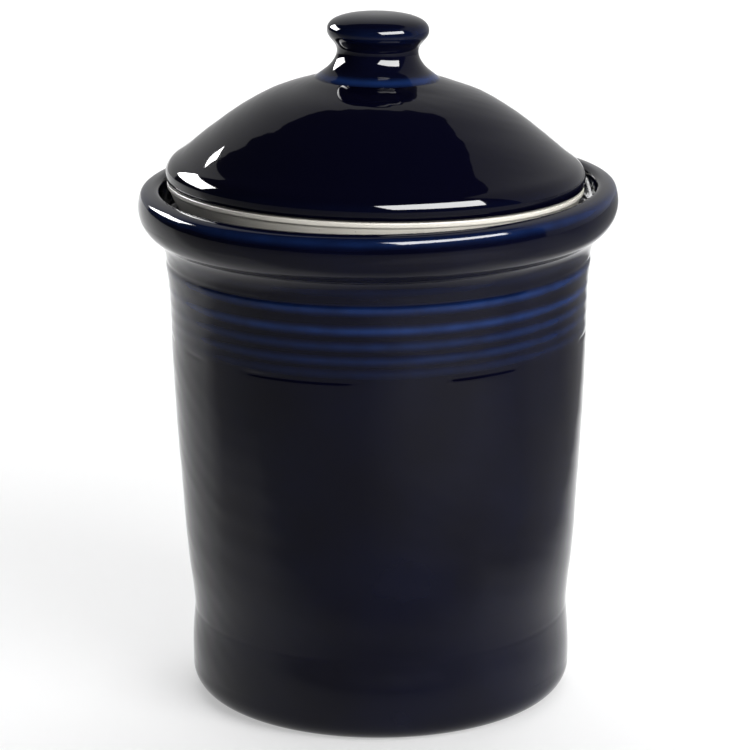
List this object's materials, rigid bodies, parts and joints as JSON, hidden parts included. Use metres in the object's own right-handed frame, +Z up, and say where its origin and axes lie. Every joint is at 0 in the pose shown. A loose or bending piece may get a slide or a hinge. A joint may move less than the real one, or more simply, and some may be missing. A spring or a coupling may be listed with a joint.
{
  "type": "kitchen canister",
  "caption": "Round glazed ceramic kitchen canister with a rolled rim, ridged neck, domed knob lid and a silicone lid seal that lifts out with the lid.",
  "frame": {"origin": "centre of the foot ring, on the surface the canister stands on", "axes": "+Z up along the pot's axis, -Y towards the side shown in the picture, +X to the right of that view"},
  "size_m": [0.184, 0.184, 0.2661],
  "materials": {
    "pot_glaze": "gloss",
    "lid_glaze": "gloss",
    "knob_glaze": "gloss",
    "seal_silicone": "matte"
  },
  "bodies": {
    "pot": {"canister_body": "pot_glaze"},
    "lid": {"lid": "lid_glaze", "knob": "knob_glaze", "lid_seal": "seal_silicone"}
  },
  "joints": [
    {"name": "lid_lift", "type": "slide", "parent": "pot", "child": "lid", "axis": [0, 0, 1], "range_m": [0, 0.1]}
  ]
}
